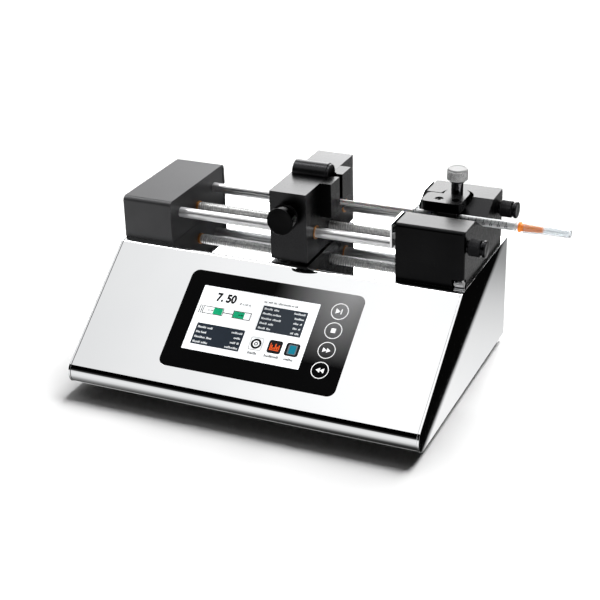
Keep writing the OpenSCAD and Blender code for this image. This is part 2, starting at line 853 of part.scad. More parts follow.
module clamp_arm() {
    color([0.14, 0.14, 0.14]) difference() {
        union() {
            translate([(arm_left + arm_right) / 2, arm_front + arm_depth / 2, arm_low])
                linear_extrude(arm_t) rounded_rect(arm_right - arm_left, arm_depth, 4);
            translate([post_x, post_y, arm_low]) cylinder(r = 9.5, h = arm_t - 2);
            block([post_x - 9.5, arm_front + 9, arm_low],
                  [post_x + 9.5, post_y, arm_low + arm_t - 2]);
        }
        translate([post_x, post_y, arm_low - 1]) cylinder(r = post_low_r + run_fit, h = 20);
        for (x = arm_screw_x)
            translate([x, arm_screw_y, arm_low]) {
                translate([0, 0, -1]) cylinder(r = 1.6, h = 20);
                translate([0, 0, arm_t - 3.2]) cylinder(r = 3.1, h = 10);
            }
    }
}

module clamp_screws() {
    color([0.1, 0.1, 0.1]) for (x = arm_screw_x)
        translate([x, arm_screw_y, arm_low + arm_t - 3.2]) screw(2.9, 2.4, 1.5, 5.4);
}

// Pad that presses on the barrel, with a lip in front of it
module clamp_pad() {
    left = post_x - 6;
    right = post_x + 8.5;
    pad_low = syringe_z + barrel_r + 0.3;
    color([0.08, 0.08, 0.08]) difference() {
        union() {
            block([left, arm_front - 0.6, pad_low], [right, arm_front + 11, arm_low]);
            block([left, arm_front - 0.6, syringe_z], [right, arm_front + 0.8, arm_low]);
        }
        for (x = arm_screw_x)
            translate([x, arm_screw_y, pad_low + 0.6]) cylinder(r = 1.5, h = 6);
    }
}

module clamp_knob() {
    color("silver") translate([post_x, post_y, knob_low]) difference() {
        rotate_extrude() polygon([
            [0, 0], [5.6, 0], [knob_r, 2], [knob_r, knob_h - 1.2], [knob_r - 1.2, knob_h], [0, knob_h]]);
        translate([0, 0, -1]) cylinder(r = 3 + run_fit, h = knob_h - 1);
    }
}

// ---------- syringe ----------

module syringe_barrel() {
    color([0.9, 0.95, 1, 0.5]) difference() {
        union() {
            x_rod(barrel_r, flange_x, barrel_end, mech_y, syringe_z);
            intersection() {
                x_rod(6.5, flange_x, flange_x + 1.6, mech_y, syringe_z);
                block([flange_x, mech_y - 7, syringe_z - 4.6], [flange_x + 2, mech_y + 7, syringe_z + 4.6]);
            }
            x_rod(2, barrel_end, barrel_end + 8, mech_y, syringe_z);
        }
        x_rod(bore_r, flange_x - 1, barrel_end - 1.5, mech_y, syringe_z);
        x_rod(0.8, flange_x, barrel_end + 9, mech_y, syringe_z);
    }
}

module syringe_plunger() {
    color([0.95, 0.95, 0.95]) {
        x_rod(disc_r, disc_x, disc_x + 1.5, mech_y, syringe_z);
        block([disc_x + 1.5, mech_y - 2.1, syringe_z - 0.5], [seal_x - 1, mech_y + 2.1, syringe_z + 0.5]);
        block([disc_x + 1.5, mech_y - 0.5, syringe_z - 2.1], [seal_x - 1, mech_y + 0.5, syringe_z + 2.1]);
        x_rod(2.2, seal_x - 1, seal_x, mech_y, syringe_z);
    }
}

module plunger_seal() {
    color([0.12, 0.12, 0.12]) translate([seal_x, mech_y, syringe_z]) rotate([0, 90, 0])
        rotate_extrude() polygon([[0, 0], [2.35, 0], [2.35, 1], [2, 1.3], [2, 2.4], [2.35, 2.7],
                                  [2.35, 3.4], [0, 4.4]]);
}

module needle_hub() {
    color("darkorange") translate([hub_x, mech_y, syringe_z]) rotate([0, 90, 0]) difference() {
        rotate_extrude() polygon([[0, 0], [3.8, 0], [3.8, 1.4], [3, 1.8], [2.6, 9], [2.1, 18], [0, 18]]);
        translate([0, 0, -1]) cylinder(r = 2.03, h = 8.2);
        translate([0, 0, 5]) cylinder(r = 0.3, h = 20);
    }
}

module needle() {
    color("silver") x_rod(0.3, hub_x + 9, cap_tip - 6, mech_y, syringe_z);
}

module needle_cap() {
    cap_x = hub_x + 4;
    length = cap_tip - cap_x;
    color([0.9, 0.95, 1, 0.4]) translate([cap_x, mech_y, syringe_z]) rotate([0, 90, 0])
        rotate_extrude() polygon([
            [3.2, 0], [3.9, 0], [3.5, 10], [3, length - 0.6], [2.4, length], [0, length],
            [0, length - 1.2], [2.2, length - 1.2], [2.9, 10]]);
}

housing_shell();
left_side_panel();
right_side_panel();
base_tray();
rear_panel();
case_screws();
foot_front_left();
foot_front_right();
foot_rear_left();
foot_rear_right();
feet_screws();
display_glass();
lcd_module();
display_frame();
control_board();
power_supply();
power_inlet();
switch_frame();
power_rocker();
serial_port();
stepper_motor();
motor_bracket();
motor_pulley();
timing_belt();
screw_pulley();
drive_cover();
drive_end_plate();
screw_bush_left();
screw_bush_right();
lead_screw();
front_guide_rod();
rear_guide_rod();
pusher_block();
guide_bushings();
half_nut();
plunger_bracket();
pusher_screws();
top_grip();
release_collar();
release_knob();
nut_spring();
cradle_block();
corner_tab();
flange_plate();
flange_rods();
front_thumb_screw();
rear_thumb_screw();
clamp_post();
clamp_arm();
clamp_pad();
clamp_screws();
clamp_knob();
syringe_barrel();
syringe_plunger();
plunger_seal();
needle_hub();
needle();
needle_cap();
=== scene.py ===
"""Bench syringe infusion pump: finishes, fine detail, floor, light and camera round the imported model."""
import math

import bmesh
import bpy
from mathutils import Matrix, Vector


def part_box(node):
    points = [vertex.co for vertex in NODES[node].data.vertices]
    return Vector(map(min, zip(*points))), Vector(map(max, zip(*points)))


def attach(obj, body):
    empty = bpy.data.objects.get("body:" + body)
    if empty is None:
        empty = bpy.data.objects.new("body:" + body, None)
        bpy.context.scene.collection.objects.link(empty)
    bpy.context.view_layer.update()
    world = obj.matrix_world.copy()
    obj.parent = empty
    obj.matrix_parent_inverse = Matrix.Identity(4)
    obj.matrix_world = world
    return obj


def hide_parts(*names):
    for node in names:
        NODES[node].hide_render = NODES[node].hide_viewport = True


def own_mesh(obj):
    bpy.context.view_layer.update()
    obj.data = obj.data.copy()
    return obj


MM = 0.001
PIXELS_PER_METRE = 5000

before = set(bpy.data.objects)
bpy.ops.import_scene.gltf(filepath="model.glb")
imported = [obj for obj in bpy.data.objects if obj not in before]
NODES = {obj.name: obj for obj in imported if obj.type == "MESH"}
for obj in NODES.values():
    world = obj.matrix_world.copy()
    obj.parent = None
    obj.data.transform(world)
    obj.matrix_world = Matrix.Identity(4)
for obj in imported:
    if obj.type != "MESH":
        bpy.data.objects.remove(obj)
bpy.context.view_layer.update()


# ---------- node materials ----------

def new_material(name):
    material = bpy.data.materials.new(name)
    material.use_nodes = True
    tree = material.node_tree
    return material, tree, tree.nodes["Principled BSDF"]


def object_coords(tree, scale=(1, 1, 1)):
    coords = tree.nodes.new("ShaderNodeTexCoord")
    mapping = tree.nodes.new("ShaderNodeMapping")
    mapping.inputs["Scale"].default_value = scale
    tree.links.new(coords.outputs["Object"], mapping.inputs["Vector"])
    return mapping.outputs["Vector"]


def noise(tree, vector, scale, detail=3.0):
    node = tree.nodes.new("ShaderNodeTexNoise")
    node.inputs["Scale"].default_value = scale
    node.inputs["Detail"].default_value = detail
    node.inputs["Roughness"].default_value = 0.55
    tree.links.new(vector, node.inputs["Vector"])
    return node.outputs["Fac"]


def spread(tree, value, low, high, start=0.3, end=0.7):
    """value, from start to end, becomes low to high."""
    node = tree.nodes.new("ShaderNodeMapRange")
    for socket, number in (("From Min", start), ("From Max", end), ("To Min", low), ("To Max", high)):
        node.inputs[socket].default_value = number
    tree.links.new(value, node.inputs["Value"])
    return node.outputs["Result"]


def colour_mix(tree, value, low, high):
    node = tree.nodes.new("ShaderNodeMix")
    node.data_type = "RGBA"
    node.inputs["A"].default_value = (*low, 1)
    node.inputs["B"].default_value = (*high, 1)
    tree.links.new(value, node.inputs["Factor"])
    return node.outputs["Result"]


def maths(tree, operation, a, b):
    node = tree.nodes.new("ShaderNodeMath")
    node.operation = operation
    tree.links.new(a, node.inputs[0])
    tree.links.new(b, node.inputs[1])
    return node.outputs[0]


def blended(tree, factor, a, b):
    """a where factor is 0, b where it is 1."""
    node = tree.nodes.new("ShaderNodeMix")
    node.data_type = "RGBA"
    tree.links.new(factor, node.inputs["Factor"])
    tree.links.new(a, node.inputs["A"])
    tree.links.new(b, node.inputs["B"])
    return node.outputs["Result"]


def plain_colour(tree, colour):
    node = tree.nodes.new("ShaderNodeRGB")
    node.outputs[0].default_value = (*colour, 1)
    return node.outputs[0]


def bump(tree, shader, height, distance):
    node = tree.nodes.new("ShaderNodeBump")
    node.inputs["Distance"].default_value = distance
    node.inputs["Strength"].default_value = 1.0
    tree.links.new(height, node.inputs["Height"])
    tree.links.new(node.outputs["Normal"], shader.inputs["Normal"])


def surface(name, low, high, metallic, rough, grain, depth, stretch=(1, 1, 1), patch=25, **sockets):
    """A finish that varies from colour low to high and from roughness rough[0] to rough[1] in patches,
    with a grain of that scale (per metre) and depth (metres), drawn out by stretch."""
    material, tree, shader = new_material(name)
    plain = object_coords(tree)
    patches = noise(tree, plain, patch)
    tree.links.new(colour_mix(tree, spread(tree, patches, 0, 1), low, high), shader.inputs["Base Color"])
    shader.inputs["Metallic"].default_value = metallic
    fine = noise(tree, object_coords(tree, stretch), grain, 2.0)
    both = maths(tree, "ADD", patches, fine)
    tree.links.new(spread(tree, both, *rough, 0.6, 1.4), shader.inputs["Roughness"])
    bump(tree, shader, fine, depth)
    for socket, number in sockets.items():
        shader.inputs[socket.replace("_", " ")].default_value = number
    return material


def painted_glow(material, strength):
    """Adds a weak painted glow, an emission of the material's own colour, that stands in for the light
    that comes through thin plastic.
    """
    shader = material.node_tree.nodes["Principled BSDF"]
    colour = shader.inputs["Base Color"].links[0].from_socket
    material.node_tree.links.new(colour, shader.inputs["Emission Color"])
    shader.inputs["Emission Strength"].default_value = strength


def glow(name, colour, strength):
    """A lit area of the screen: emission with a pixel grid, under a glossy face."""
    material, tree, shader = new_material(name)
    grid = tree.nodes.new("ShaderNodeTexVoronoi")
    grid.inputs["Scale"].default_value = PIXELS_PER_METRE
    tree.links.new(object_coords(tree), grid.inputs["Vector"])
    shade = spread(tree, grid.outputs["Distance"], 1.0, 0.9, 0.0, 0.8)
    mixed = colour_mix(tree, shade, [c * 0.6 for c in colour], colour)
    tree.links.new(mixed, shader.inputs["Base Color"])
    tree.links.new(mixed, shader.inputs["Emission Color"])
    shader.inputs["Emission Strength"].default_value = strength
    shader.inputs["Roughness"].default_value = 0.12
    shader.inputs["Specular IOR Level"].default_value = 0.12
    return material


def black_glass():
    """Polished black glass with a painted reflection: grey painted into its colour that grows towards its
    upper right corner.
    """
    material = surface("black_glass", (0.0012, 0.0012, 0.0015), (0.002, 0.002, 0.0024), 0, (0.015, 0.05),
                       30, 0.000001, patch=40, Specular_IOR_Level=0.03)
    tree = material.node_tree
    shader = tree.nodes["Principled BSDF"]
    parts = tree.nodes.new("ShaderNodeSeparateXYZ")
    tree.links.new(object_coords(tree), parts.inputs["Vector"])
    across = spread(tree, parts.outputs["X"], 0, 1, 0.0, 0.062)
    height = spread(tree, parts.outputs["Z"], 0, 1, 0.045, 0.082)
    # painted reflection: the base colour turns grey towards the upper right corner, where the glass would
    # mirror light
    painted_reflection = maths(tree, "MULTIPLY", across, height)
    dark = shader.inputs["Base Color"].links[0].from_socket
    grey = plain_colour(tree, (0.72, 0.72, 0.73))
    tree.links.new(blended(tree, painted_reflection, dark, grey), shader.inputs["Base Color"])
    return material


def clear_plastic(name, tint, rough, clear):
    """Moulded plastic that lets the share clear of the light through, with slight flow marks."""
    material, tree, shader = new_material(name)
    patches = noise(tree, object_coords(tree), 60)
    thin = [c * 0.97 for c in tint]
    tree.links.new(colour_mix(tree, patches, thin, tint), shader.inputs["Base Color"])
    tree.links.new(spread(tree, patches, rough, rough * 2), shader.inputs["Roughness"])
    shader.inputs["Transmission Weight"].default_value = clear
    shader.inputs["IOR"].default_value = 1.46
    bump(tree, shader, noise(tree, object_coords(tree, (0.1, 1, 1)), 900), 0.00001)
    return material


# metals: bare, then anodised
MIRROR = surface("mirror_steel", (0.83, 0.84, 0.85), (0.88, 0.885, 0.89), 1, (0.004, 0.012),
                 14, 0.000004, patch=9)
SATIN_STEEL = surface("satin_steel", (0.50, 0.50, 0.50), (0.62, 0.62, 0.62), 1, (0.26, 0.42),
                      900, 0.00001, stretch=(0.03, 1, 1))
CHROME = surface("ground_chrome", (0.92, 0.92, 0.93), (0.97, 0.97, 0.98), 0.42, (0.13, 0.18),
                 1500, 0.0000003, stretch=(0.05, 1, 1), patch=20)
DARK_CHROME = surface("dark_chrome", (0.10, 0.10, 0.105), (0.20, 0.20, 0.21), 1, (0.05, 0.12),
                      2500, 0.000002, stretch=(0.06, 0.06, 1), patch=120)
SCREW_STEEL = surface("screw_steel", (0.36, 0.36, 0.36), (0.62, 0.62, 0.61), 1, (0.24, 0.42),
                      1800, 0.00001, patch=400)
SILVER = surface("turned_silver", (0.50, 0.50, 0.50), (0.66, 0.66, 0.66), 1, (0.20, 0.34),
                 2200, 0.00001, patch=200)
TURNED_FACE = surface("turned_face", (0.47, 0.47, 0.47), (0.51, 0.51, 0.51), 0, (0.45, 0.6),
                      2200, 0.000006, Specular_IOR_Level=0.1)
BRONZE = surface("bronze", (0.26, 0.11, 0.035), (0.56, 0.27, 0.10), 1, (0.24, 0.42),
                 1600, 0.00001, patch=350)
BLACK_SATIN = surface("black_satin", (0.022, 0.022, 0.023), (0.032, 0.032, 0.033), 1, (0.24, 0.32),
                      2600, 0.000006)
DEEP_BLACK = surface("deep_black_satin", (0.006, 0.006, 0.0063), (0.010, 0.010, 0.0103), 1, (0.22, 0.30),
                     2600, 0.000006)
BLACK_GLOSS = surface("black_gloss", (0.010, 0.010, 0.011), (0.018, 0.018, 0.019), 1, (0.12, 0.22),
                      1500, 0.000006)
DEEP_GLOSS = surface("deep_gloss", (0.004, 0.004, 0.0042), (0.007, 0.007, 0.0072), 1, (0.10, 0.18),
                     1500, 0.000004)
GREY_SATIN = surface("grey_satin", (0.064, 0.064, 0.066), (0.086, 0.086, 0.088), 1, (0.38, 0.48),
                     2600, 0.000008, Specular_Tint=(0.75, 0.75, 0.75, 1))

# plastics, rubber, glass and ink
BLACK_PLASTIC = surface("black_plastic", (0.012, 0.012, 0.012), (0.022, 0.022, 0.022), 0, (0.42, 0.6),
                        1800, 0.00003, Specular_IOR_Level=0.3)
RUBBER = surface("rubber", (0.015, 0.015, 0.015), (0.035, 0.034, 0.033), 0, (0.6, 0.85),
                 1400, 0.00004)
BOARD = surface("solder_mask", (0.01, 0.11, 0.05), (0.02, 0.18, 0.08), 0, (0.25, 0.4),
                700, 0.00002)
WHITE_PLASTIC = surface("white_plastic", (0.80, 0.80, 0.79), (0.88, 0.88, 0.87), 0, (0.22, 0.36),
                        700, 0.00001, Subsurface_Weight=0.1, Subsurface_Scale=0.001)
ORANGE = surface("orange_plastic", (0.93, 0.21, 0.012), (0.98, 0.30, 0.025), 0, (0.18, 0.3),
                 500, 0.00001, Subsurface_Weight=0.3, Subsurface_Scale=0.001)
# painted glow: the orange hub's emission stands in for light through its plastic
painted_glow(ORANGE, 0.30)
INK = surface("black_ink", (0.01, 0.01, 0.01), (0.03, 0.03, 0.03), 0, (0.3, 0.5),
              3000, 0.000004)
GLASS = black_glass()
CLEAR = clear_plastic("clear_plastic", (0.82, 0.85, 0.87), 0.04, 0.9)
MILKY = clear_plastic("milky_plastic", (0.95, 0.96, 0.97), 0.05, 0.38)

# the lit screen and keys
SCREEN_WHITE = glow("screen_white", (0.93, 0.95, 0.96), 0.92)
KEY_LIGHT = glow("key_light", (0.90, 0.90, 0.90), 0.85)
SCREEN_NAVY = glow("screen_navy", (0.016, 0.024, 0.036), 0.6)
SCREEN_SLATE = glow("screen_slate", (0.030, 0.038, 0.050), 0.6)
SCREEN_PALE = glow("screen_pale", (0.85, 0.88, 0.90), 0.6)
SCREEN_GREY = glow("screen_grey", (0.02, 0.02, 0.02), 0.6)
SCREEN_GREEN = glow("screen_green", (0.005, 0.42, 0.19), 0.6)
SCREEN_BLACK = glow("screen_black", (0.008, 0.008, 0.009), 0.6)
SCREEN_ORANGE = glow("screen_orange", (0.95, 0.12, 0.02), 0.6)
SCREEN_STEEL = glow("screen_steel", (0.13, 0.17, 0.20), 0.6)
SCREEN_TEAL = glow("screen_teal", (0.005, 0.22, 0.32), 0.6)


# ---------- CAD pieces that keep their shape ----------

def dress(material, bevel_mm, *names):
    """Gives CAD nodes their finish, and rounds their edges by bevel_mm."""
    for name in names:
        node = NODES[name]
        if not node.material_slots:
            node.data.materials.append(material)
        for slot in node.material_slots:
            slot.material = material
        weld = node.modifiers.new("weld", "WELD")
        weld.merge_threshold = 1e-6
        flat = node.modifiers.new("flat", "DECIMATE")
        flat.decimate_type = "DISSOLVE"
        flat.angle_limit = math.radians(0.4)
        if bevel_mm:
            edge = node.modifiers.new("edge", "BEVEL")
            edge.width = bevel_mm * MM
            edge.segments = 3
            edge.limit_method = "ANGLE"
            edge.angle_limit = math.radians(28)
            edge.use_clamp_overlap = True
            edge.harden_normals = False
        normals = node.modifiers.new("normals", "WEIGHTED_NORMAL")
        normals.keep_sharp = True
        normals.weight = 100


dress(MIRROR, 0.06, "housing_shell", "left_side_panel", "right_side_panel")
dress(MIRROR, 0.15, "flange_plate")
dress(SATIN_STEEL, 0.2, "base_tray", "rear_panel", "power_supply", "motor_bracket", "lcd_module")
dress(SATIN_STEEL, 0.12, "case_screws", "feet_screws", "screw_pulley", "motor_pulley")
dress(SATIN_STEEL, 0, "needle")
dress(GREY_SATIN, 0.35, "drive_cover", "drive_end_plate")
dress(BLACK_SATIN, 0.45, "pusher_block")
dress(DEEP_BLACK, 0.45, "cradle_block")
dress(DEEP_BLACK, 0.35, "plunger_bracket", "clamp_arm")
dress(BLACK_SATIN, 0.15, "release_collar", "pusher_screws")
dress(BLACK_GLOSS, 0.12, "clamp_screws")
dress(BLACK_SATIN, 0.2, "top_grip")
dress(CHROME, 0.3, "front_guide_rod", "rear_guide_rod", "flange_rods")
dress(DARK_CHROME, 0.2, "clamp_post")
dress(BRONZE, 0.15, "screw_bush_left", "screw_bush_right", "guide_bushings", "half_nut")
dress(SILVER, 0.3, "stepper_motor")
dress(BLACK_PLASTIC, 0.1, "serial_port")
dress(CHROME, 0, "corner_tab")
dress(GLASS, 0.3, "display_glass")
dress(BLACK_PLASTIC, 0.25, "display_frame", "power_inlet", "switch_frame", "power_rocker", "clamp_pad")
dress(BOARD, 0.1, "control_board")
dress(RUBBER, 0.3, "foot_front_left", "foot_front_right", "foot_rear_left", "foot_rear_right")
dress(RUBBER, 0.1, "timing_belt", "plunger_seal")
dress(MILKY, 0.12, "syringe_barrel")
dress(CLEAR, 0, "needle_cap")
dress(WHITE_PLASTIC, 0.15, "syringe_plunger")
dress(ORANGE, 0.15, "needle_hub")


# ---------- mesh helpers ----------

def piece(name, points, faces, material, body, smooth=True):
    mesh = bpy.data.meshes.new(name)
    mesh.from_pydata(points, [], faces)
    mesh.validate()
    bm = bmesh.new()
    bm.from_mesh(mesh)
    bmesh.ops.recalc_face_normals(bm, faces=bm.faces)
    bm.to_mesh(mesh)
    bm.free()
    for face in mesh.polygons:
        face.use_smooth = smooth
    obj = bpy.data.objects.new(name, mesh)
    bpy.context.scene.collection.objects.link(obj)
    mesh.materials.append(material)
    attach(obj, body)
    return obj


def revolve(name, rings, steps, place, material, body, radius=None):
    """A closed turned piece: rings are (radius, height) in mm from the axis's start to its end, and
    place(a, b, h) puts a point with those offsets from the axis, all in mm, into the frame.
    radius(ring, angle) may change the radius round the piece."""
    points = []
    for index, (r, h) in enumerate(rings):
        for k in range(steps):
            angle = 2 * math.pi * k / steps
            rr = radius(index, angle) if radius else r
            points.append(place(rr * math.cos(angle), rr * math.sin(angle), h))
    faces = []
    for i in range(len(rings) - 1):
        for k in range(steps):
            n = (k + 1) % steps
            faces.append((i * steps + k, i * steps + n, (i + 1) * steps + n, (i + 1) * steps + k))
    last = (len(rings) - 1) * steps
    faces.append(tuple(range(steps)))
    faces.append(tuple(last + k for k in range(steps)))
    obj = piece(name, points, faces, material, body)
    soften(obj)
    return obj


def soften(obj, angle=32):
    """Shades smoothly, with a hard line only where faces meet at more than angle degrees."""
    bm = bmesh.new()
    bm.from_mesh(obj.data)
    for edge in bm.edges:
        edge.smooth = len(edge.link_faces) == 2 and edge.calc_face_angle() < math.radians(angle)
    bm.to_mesh(obj.data)
    bm.free()


def along_x(x, y, z):
    """place() for an axis along +X that starts at (x, y, z), in mm."""
    return lambda a, b, h: ((x + h) * MM, (y + a) * MM, (z + b) * MM)


def along_y(x, y, z):
    return lambda a, b, h: ((x + a) * MM, (y + h) * MM, (z + b) * MM)


def along_z(x, y, z):
    return lambda a, b, h: ((x + a) * MM, (y + b) * MM, (z + h) * MM)


def box_mm(node):
    low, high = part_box(node)
    return Vector(low) / MM, Vector(high) / MM


def arc(r_from, h_from, r_to, h_to, steps=4):
    """A quarter round between two ring positions: outwards from a flat start, or inwards to a flat end."""
    rings = []
    for i in range(steps + 1):
        t = math.pi / 2 * i / steps
        if r_to > r_from:
            across, along = math.sin(t), 1 - math.cos(t)
        else:
            across, along = 1 - math.cos(t), math.sin(t)
        rings.append((r_from + (r_to - r_from) * across, h_from + (h_to - h_from) * along))
    return rings


# ---------- lead screw ----------

LEAD = 4.0
STARTS = 2
THREAD_DEPTH = 0.55
RUN_OUT = 1.5
RING_STEP = 0.14
JOURNAL_RADIUS = 3.0


def thread_profile(phase):
    """Height of a trapezoidal thread over one pitch of phase: 1 on the crest and 0 at the root."""
    t = abs((phase % 1.0) - 0.5) * 2
    return min(1.0, max(0.0, (t - 0.32) / 0.3))


def lead_screw():
    low, high = box_mm("lead_screw")
    y, z = (low.y + high.y) / 2, (low.z + high.z) / 2
    major = (high.y - low.y) / 2
    root = major - THREAD_DEPTH
    journal = JOURNAL_RADIUS
    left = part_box("screw_bush_left")[1][0] / MM + 0.5
    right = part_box("screw_bush_right")[0][0] / MM - 0.5
    threaded = right - left - 0.2
    count = int(threaded / RING_STEP)
    rings = [(journal - 0.3, low.x), (journal, low.x + 0.3), (journal, left), (root, left + 0.05)]
    rings += [(None, left + 0.1 + i * threaded / count) for i in range(count + 1)]
    rings += [(root, right - 0.05), (journal, right), (journal, high.x - 0.3), (journal - 0.3, high.x)]

    def radius(index, angle):
        r, x = rings[index]
        if r is not None:
            return r
        run_out = min(1.0, (x - left) / RUN_OUT, (right - x) / RUN_OUT)
        phase = STARTS * (x / LEAD - angle / (2 * math.pi))
        return root + THREAD_DEPTH * run_out * thread_profile(phase)

    obj = revolve("threaded_lead_screw", [(r or major, x) for r, x in rings], 48, along_x(0, y, z),
                  SCREW_STEEL, "lead_screw_assembly", radius)
    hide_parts("lead_screw")


lead_screw()


# ---------- spring under the half nut ----------

SPRING_TURNS = 2
WIRE_RADIUS = 0.45


def spring():
    """Round wire coil under the half nut."""
    low, high = box_mm("nut_spring")
    height = high.z - low.z
    coil = (high.x - low.x) / 2 - WIRE_RADIUS
    x, y = low.x + WIRE_RADIUS + coil, low.y + WIRE_RADIUS + coil
    place = along_z(x, y, low.z + WIRE_RADIUS)
    rise = height - 2 * WIRE_RADIUS
    steps, wire_steps = SPRING_TURNS * 48, 16
    points, faces = [], []
    for i in range(steps + 1):
        turn = 2 * math.pi * SPRING_TURNS * i / steps
        for k in range(wire_steps):
            angle = 2 * math.pi * k / wire_steps
            r = coil + WIRE_RADIUS * math.cos(angle)
            climb = rise * i / steps + WIRE_RADIUS * math.sin(angle)
            points.append(place(r * math.cos(turn), r * math.sin(turn), climb))
    for i in range(steps):
        for k in range(wire_steps):
            n = (k + 1) % wire_steps
            a, b = i * wire_steps, (i + 1) * wire_steps
            faces.append((a + k, a + n, b + n, b + k))
    faces.append(tuple(range(wire_steps)))
    faces.append(tuple(steps * wire_steps + k for k in range(wire_steps)))
    obj = piece("nut_spring_coil", points, faces, SATIN_STEEL, "pusher")
    soften(obj, 60)
    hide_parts("nut_spring")
    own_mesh(obj)


spring()


# ---------- knurled and turned knobs ----------

def knurl(angle, height, teeth, pitch, depth):
    """Diamond knurling: two crossed sets of ridges, 0 in the grooves to depth on the peaks."""
    turn = teeth * angle / (2 * math.pi)
    a = abs(((turn + height / pitch) % 1.0) - 0.5) * 2
    b = abs(((turn - height / pitch) % 1.0) - 0.5) * 2
    return depth * min(1.0, 1.6 * min(a, b))


def knurled(name, rings, span, teeth, pitch, depth, place, material, body, steps):
    """A turned knob whose rings inside span = (start, end) heights carry knurling."""
    def radius(index, angle):
        r, h = rings[index]
        if span[0] <= h <= span[1] and r > 0:
            return r - depth + knurl(angle, h, teeth, pitch, depth)
        return r
    return revolve(name, rings, steps, place, material, body, radius)


def fine_rings(r, start, end, step):
    count = max(2, round((end - start) / step))
    return [(r, start + (end - start) * i / count) for i in range(count + 1)]


def clamp_knob():
    low, high = box_mm("clamp_knob")
    r = (high.x - low.x) / 2
    h = high.z - low.z
    crown = 1.2
    rings = [(4.7, 0), (5.6, 0), *fine_rings(r, 2.0, h - 1.4, 0.22), (r - 0.15, h - 1.3)]
    rings += arc(r - 0.2, h - crown, r - 1.3, h) + [(r - 1.9, h), (r - 2.2, h - 0.25), (0.4, h - 0.25)]
    obj = knurled("knurled_clamp_knob", rings, (2.1, h - 1.45), 44, 1.35, 0.28,
                  along_z((low.x + high.x) / 2, (low.y + high.y) / 2, low.z), SILVER, "knob", 264)
    # the crown above the knurling is turned to a matt face
    obj.data.materials.append(TURNED_FACE)
    for face in obj.data.polygons:
        if face.center.z > (high.z - crown) * MM:
            face.material_index = 1
    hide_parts("clamp_knob")


def thumb_screw(node, body):
    low, high = box_mm(node)
    r = (high.y - low.y) / 2
    length = high.x - low.x
    rings = [(2.6, 0), (4.2, 0), (4.6, 0.4), (4.6, 1.4), (r - 0.5, 1.6), *fine_rings(r, 2.1, 9.9, 0.25),
             (r - 0.5, 10.6), (5.0, 10.8), (5.0, 12.0), (r - 0.4, 12.0), (r, 12.4), (r, length - 0.9)]
    rings += arc(r, length - 0.8, r - 0.8, length) + [(0.4, length)]
    obj = knurled(node + "_knurled", rings, (2.3, 9.7), 40, 1.2, 0.25,
                  along_x(low.x, (low.y + high.y) / 2, (low.z + high.z) / 2), BLACK_GLOSS, body, 240)
    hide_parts(node)


def release_knob():
    low, high = box_mm("release_knob")
    r = (high.x - low.x) / 2
    x, z = (low.x + high.x) / 2, (low.z + high.z) / 2
    neck, shaft = 6.9, 3
    neck_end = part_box("release_collar")[0][1] / MM - low.y + 4.3
    length = high.y - low.y
    rings = [(0.3, 0.25), (r - 2.2, 0.25), (r - 1.7, 0)] + arc(r - 1.0, 0, r, 1.0, 5)
    rings += [(r, 8.0), (r - 0.25, 8.2), (r - 0.25, 8.6), (r, 8.8), (r, 9.4)]
    rings += arc(r, 9.4, r - 0.6, 10)
    rings += [(neck, 10), (neck, neck_end), (shaft, neck_end), (shaft, length - 3.5), (0.55, length)]
    obj = revolve("turned_release_knob", rings, 96, along_y(x, low.y, z), DEEP_GLOSS, "release")
    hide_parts("release_knob")


clamp_knob()
thumb_screw("front_thumb_screw", "front_thumbscrew")
thumb_screw("rear_thumb_screw", "rear_thumbscrew")
release_knob()


# ---------- syringe markings ----------

BARREL_RADIUS = 3.2
SCALE_START = 14.0
SCALE_PITCH = 0.574
SCALE_MARKS = 101
INK_THICKNESS = 0.03


def barrel_band(points, faces, place, x, width, from_deg, to_deg, steps):
    """A thin printed patch on the barrel: a closed curved slab of that width, centred on x."""
    base = len(points)
    inner = BARREL_RADIUS + 0.01
    for i in range(steps + 1):
        angle = math.radians(from_deg + (to_deg - from_deg) * i / steps)
        for r in (inner, inner + INK_THICKNESS):
            for end in (x - width / 2, x + width / 2):
                points.append(place(r * math.cos(angle), r * math.sin(angle), end))
    for i in range(steps):
        a = base + 4 * i
        b = a + 4
        faces += [(a, a + 1, b + 1, b), (a + 2, b + 2, b + 3, a + 3), (a, b, b + 2, a + 2),
                  (a + 1, a + 3, b + 3, b + 1)]
    end = base + 4 * steps
    faces += [(base, base + 2, base + 3, base + 1), (end, end + 1, end + 3, end + 2)]


def graduations():
    low, high = box_mm("syringe_barrel")
    place = along_x(0, (low.y + high.y) / 2, (low.z + high.z) / 2)
    mark_top, digit_top, digit_end = 112, 168, 200
    points, faces = [], []
    for i in range(SCALE_MARKS):
        x = low.x + SCALE_START + i * SCALE_PITCH
        long = i % 10 == 0
        if long:
            width, sweep = 0.50, 52
        elif i % 5 == 0:
            width, sweep = 0.34, 36
        else:
            width, sweep = 0.22, 26
        barrel_band(points, faces, place, x, width, mark_top, mark_top + sweep, 8)
        if long:
            # a small square 0 that stands for the number
            for side in (-1, 1):
                barrel_band(points, faces, place, x + side * 0.8, 0.56, digit_top, digit_end, 5)
            barrel_band(points, faces, place, x, 1.04, digit_top, digit_top + 8, 2)
            barrel_band(points, faces, place, x, 1.04, digit_end - 8, digit_end, 2)
    obj = piece("barrel_graduations", points, faces, INK, "base", smooth=False)


graduations()


# ---------- touch screen ----------

SLOPE = math.radians(36.75)
DOWN = Vector((0, -math.cos(SLOPE), -math.sin(SLOPE)))
OUT = Vector((0, -math.sin(SLOPE), math.cos(SLOPE)))
HALF_GLASS = 1.2
GLASS_LOW, GLASS_HIGH = box_mm("display_glass")
GLASS_MIDDLE = (GLASS_LOW + GLASS_HIGH) / 2 + OUT * HALF_GLASS
# the screen's middle is left of the glass's middle and a little above it
SCREEN = GLASS_MIDDLE + Vector((-9.2, 0, 0)) - DOWN * 1.8
LAYER = 0.02
SUNK = 0.01


